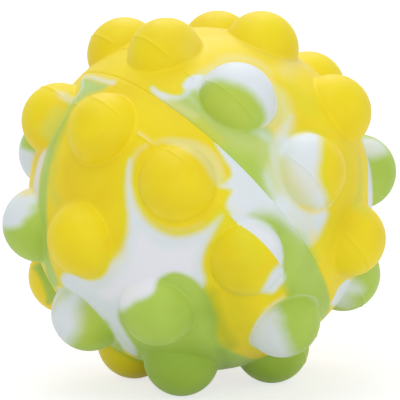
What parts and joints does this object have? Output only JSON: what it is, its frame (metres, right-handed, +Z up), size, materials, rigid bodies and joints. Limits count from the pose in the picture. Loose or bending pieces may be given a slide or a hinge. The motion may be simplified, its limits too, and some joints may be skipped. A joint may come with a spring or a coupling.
{
  "type": "pop bubble stress ball",
  "caption": "Hollow marbled silicone ball of bonded half-shells, covered in round bubbles that pop inwards when pressed and stay in until pushed back out.",
  "frame": {"origin": "centre of the ball", "axes": "+Z up from the table that the ball stands on, on four bubbles; -Y towards the picture's camera"},
  "size_m": [0.068, 0.0677, 0.0646],
  "materials": {
    "silicone_marbled": "satin",
    "silicone_yellow": "satin",
    "silicone_green": "satin",
    "silicone_white": "satin"
  },
  "bodies": {
    "shell": {"lower_half_shell": "silicone_marbled", "upper_half_shell": "silicone_marbled"},
    "lower_pole_bubble": {"lower_pole_bubble": "silicone_white"},
    "lower_middle_bubble_01": {"lower_middle_bubble_01": "silicone_green"},
    "lower_middle_bubble_02": {"lower_middle_bubble_02": "silicone_green"},
    "lower_middle_bubble_03": {"lower_middle_bubble_03": "silicone_yellow"},
    "lower_middle_bubble_04": {"lower_middle_bubble_04": "silicone_green"},
    "lower_middle_bubble_05": {"lower_middle_bubble_05": "silicone_yellow"},
    "lower_middle_bubble_06": {"lower_middle_bubble_06": "silicone_yellow"},
    "lower_equator_bubble_01": {"lower_equator_bubble_01": "silicone_green"},
    "lower_equator_bubble_02": {"lower_equator_bubble_02": "silicone_green"},
    "lower_equator_bubble_03": {"lower_equator_bubble_03": "silicone_yellow"},
    "lower_equator_bubble_04": {"lower_equator_bubble_04": "silicone_yellow"},
    "lower_equator_bubble_05": {"lower_equator_bubble_05": "silicone_yellow"},
    "lower_equator_bubble_06": {"lower_equator_bubble_06": "silicone_yellow"},
    "lower_equator_bubble_07": {"lower_equator_bubble_07": "silicone_green"},
    "lower_equator_bubble_08": {"lower_equator_bubble_08": "silicone_yellow"},
    "lower_equator_bubble_09": {"lower_equator_bubble_09": "silicone_white"},
    "lower_equator_bubble_10": {"lower_equator_bubble_10": "silicone_green"},
    "upper_pole_bubble": {"upper_pole_bubble": "silicone_yellow"},
    "upper_middle_bubble_01": {"upper_middle_bubble_01": "silicone_white"},
    "upper_middle_bubble_02": {"upper_middle_bubble_02": "silicone_yellow"},
    "upper_middle_bubble_03": {"upper_middle_bubble_03": "silicone_yellow"},
    "upper_middle_bubble_04": {"upper_middle_bubble_04": "silicone_yellow"},
    "upper_middle_bubble_05": {"upper_middle_bubble_05": "silicone_yellow"},
    "upper_middle_bubble_06": {"upper_middle_bubble_06": "silicone_green"},
    "upper_equator_bubble_01": {"upper_equator_bubble_01": "silicone_yellow"},
    "upper_equator_bubble_02": {"upper_equator_bubble_02": "silicone_white"},
    "upper_equator_bubble_03": {"upper_equator_bubble_03": "silicone_green"},
    "upper_equator_bubble_04": {"upper_equator_bubble_04": "silicone_yellow"},
    "upper_equator_bubble_05": {"upper_equator_bubble_05": "silicone_yellow"},
    "upper_equator_bubble_06": {"upper_equator_bubble_06": "silicone_yellow"},
    "upper_equator_bubble_07": {"upper_equator_bubble_07": "silicone_green"},
    "upper_equator_bubble_08": {"upper_equator_bubble_08": "silicone_white"},
    "upper_equator_bubble_09": {"upper_equator_bubble_09": "silicone_yellow"},
    "upper_equator_bubble_10": {"upper_equator_bubble_10": "silicone_green"}
  },
  "joints": [
    {"name": "lower_pole_bubble_press", "type": "slide", "parent": "shell", "child": "lower_pole_bubble", "axis": [0.6792, 0.3922, 0.6204], "range_m": [0, 0.009]},
    {"name": "lower_middle_bubble_01_press", "type": "slide", "parent": "shell", "child": "lower_middle_bubble_01", "axis": [0.1291, 0.4139, 0.9011], "range_m": [0, 0.009]},
    {"name": "lower_middle_bubble_02_press", "type": "slide", "parent": "shell", "child": "lower_middle_bubble_02", "axis": [0.2556, 0.8263, 0.5019], "range_m": [0, 0.009]},
    {"name": "lower_middle_bubble_03_press", "type": "slide", "parent": "shell", "child": "lower_middle_bubble_03", "axis": [0.676, 0.7297, 0.1026], "range_m": [0, 0.009]},
    {"name": "lower_middle_bubble_04_press", "type": "slide", "parent": "shell", "child": "lower_middle_bubble_04", "axis": [0.9699, 0.2206, 0.1026], "range_m": [0, 0.009]},
    {"name": "lower_middle_bubble_05_press", "type": "slide", "parent": "shell", "child": "lower_middle_bubble_05", "axis": [0.8434, -0.1918, 0.5019], "range_m": [0, 0.009]},
    {"name": "lower_middle_bubble_06_press", "type": "slide", "parent": "shell", "child": "lower_middle_bubble_06", "axis": [0.423, -0.0951, 0.9011], "range_m": [0, 0.009]},
    {"name": "lower_equator_bubble_01_press", "type": "slide", "parent": "shell", "child": "lower_equator_bubble_01", "axis": [-0.423, 0.0951, 0.9011], "range_m": [0, 0.009]},
    {"name": "lower_equator_bubble_02_press", "type": "slide", "parent": "shell", "child": "lower_equator_bubble_02", "axis": [-0.4751, 0.6141, 0.6301], "range_m": [0, 0.009]},
    {"name": "lower_equator_bubble_03_press", "type": "slide", "parent": "shell", "child": "lower_equator_bubble_03", "axis": [-0.2656, 0.9448, 0.1917], "range_m": [0, 0.009]},
    {"name": "lower_equator_bubble_04_press", "type": "slide", "parent": "shell", "child": "lower_equator_bubble_04", "axis": [0.1255, 0.9609, -0.2467], "range_m": [0, 0.009]},
    {"name": "lower_equator_bubble_05_press", "type": "slide", "parent": "shell", "child": "lower_equator_bubble_05", "axis": [0.5489, 0.6563, -0.5177], "range_m": [0, 0.009]},
    {"name": "lower_equator_bubble_06_press", "type": "slide", "parent": "shell", "child": "lower_equator_bubble_06", "axis": [0.8428, 0.1472, -0.5177], "range_m": [0, 0.009]},
    {"name": "lower_equator_bubble_07_press", "type": "slide", "parent": "shell", "child": "lower_equator_bubble_07", "axis": [0.8949, -0.3718, -0.2467], "range_m": [0, 0.009]},
    {"name": "lower_equator_bubble_08_press", "type": "slide", "parent": "shell", "child": "lower_equator_bubble_08", "axis": [0.6854, -0.7025, 0.1917], "range_m": [0, 0.009]},
    {"name": "lower_equator_bubble_09_press", "type": "slide", "parent": "shell", "child": "lower_equator_bubble_09", "axis": [0.2943, -0.7185, 0.6301], "range_m": [0, 0.009]},
    {"name": "lower_equator_bubble_10_press", "type": "slide", "parent": "shell", "child": "lower_equator_bubble_10", "axis": [-0.1291, -0.4139, 0.9011], "range_m": [0, 0.009]},
    {"name": "upper_pole_bubble_press", "type": "slide", "parent": "shell", "child": "upper_pole_bubble", "axis": [-0.6792, -0.3922, -0.6204], "range_m": [0, 0.009]},
    {"name": "upper_middle_bubble_01_press", "type": "slide", "parent": "shell", "child": "upper_middle_bubble_01", "axis": [-0.7185, -0.6909, -0.0807], "range_m": [0, 0.009]},
    {"name": "upper_middle_bubble_02_press", "type": "slide", "parent": "shell", "child": "upper_middle_bubble_02", "axis": [-0.2902, -0.8426, -0.4537], "range_m": [0, 0.009]},
    {"name": "upper_middle_bubble_03_press", "type": "slide", "parent": "shell", "child": "upper_middle_bubble_03", "axis": [-0.1213, -0.469, -0.8748], "range_m": [0, 0.009]},
    {"name": "upper_middle_bubble_04_press", "type": "slide", "parent": "shell", "child": "upper_middle_bubble_04", "axis": [-0.3806, 0.0563, -0.923], "range_m": [0, 0.009]},
    {"name": "upper_middle_bubble_05_press", "type": "slide", "parent": "shell", "child": "upper_middle_bubble_05", "axis": [-0.8088, 0.208, -0.5501], "range_m": [0, 0.009]},
    {"name": "upper_middle_bubble_06_press", "type": "slide", "parent": "shell", "child": "upper_middle_bubble_06", "axis": [-0.9777, -0.1656, -0.1289], "range_m": [0, 0.009]},
    {"name": "upper_equator_bubble_01_press", "type": "slide", "parent": "shell", "child": "upper_equator_bubble_01", "axis": [-0.6108, -0.581, 0.5379], "range_m": [0, 0.009]},
    {"name": "upper_equator_bubble_02_press", "type": "slide", "parent": "shell", "child": "upper_equator_bubble_02", "axis": [-0.1984, -0.9307, 0.3074], "range_m": [0, 0.009]},
    {"name": "upper_equator_bubble_03_press", "type": "slide", "parent": "shell", "child": "upper_equator_bubble_03", "axis": [0.2096, -0.9711, -0.1137], "range_m": [0, 0.009]},
    {"name": "upper_equator_bubble_04_press", "type": "slide", "parent": "shell", "child": "upper_equator_bubble_04", "axis": [0.4574, -0.687, -0.5647], "range_m": [0, 0.009]},
    {"name": "upper_equator_bubble_05_press", "type": "slide", "parent": "shell", "child": "upper_equator_bubble_05", "axis": [0.4503, -0.1867, -0.8731], "range_m": [0, 0.009]},
    {"name": "upper_equator_bubble_06_press", "type": "slide", "parent": "shell", "child": "upper_equator_bubble_06", "axis": [0.191, 0.3386, -0.9213], "range_m": [0, 0.009]},
    {"name": "upper_equator_bubble_07_press", "type": "slide", "parent": "shell", "child": "upper_equator_bubble_07", "axis": [-0.2214, 0.6883, -0.6908], "range_m": [0, 0.009]},
    {"name": "upper_equator_bubble_08_press", "type": "slide", "parent": "shell", "child": "upper_equator_bubble_08", "axis": [-0.6294, 0.7288, -0.2697], "range_m": [0, 0.009]},
    {"name": "upper_equator_bubble_09_press", "type": "slide", "parent": "shell", "child": "upper_equator_bubble_09", "axis": [-0.8772, 0.4446, 0.1813], "range_m": [0, 0.009]},
    {"name": "upper_equator_bubble_10_press", "type": "slide", "parent": "shell", "child": "upper_equator_bubble_10", "axis": [-0.8701, -0.0557, 0.4897], "range_m": [0, 0.009]}
  ]
}
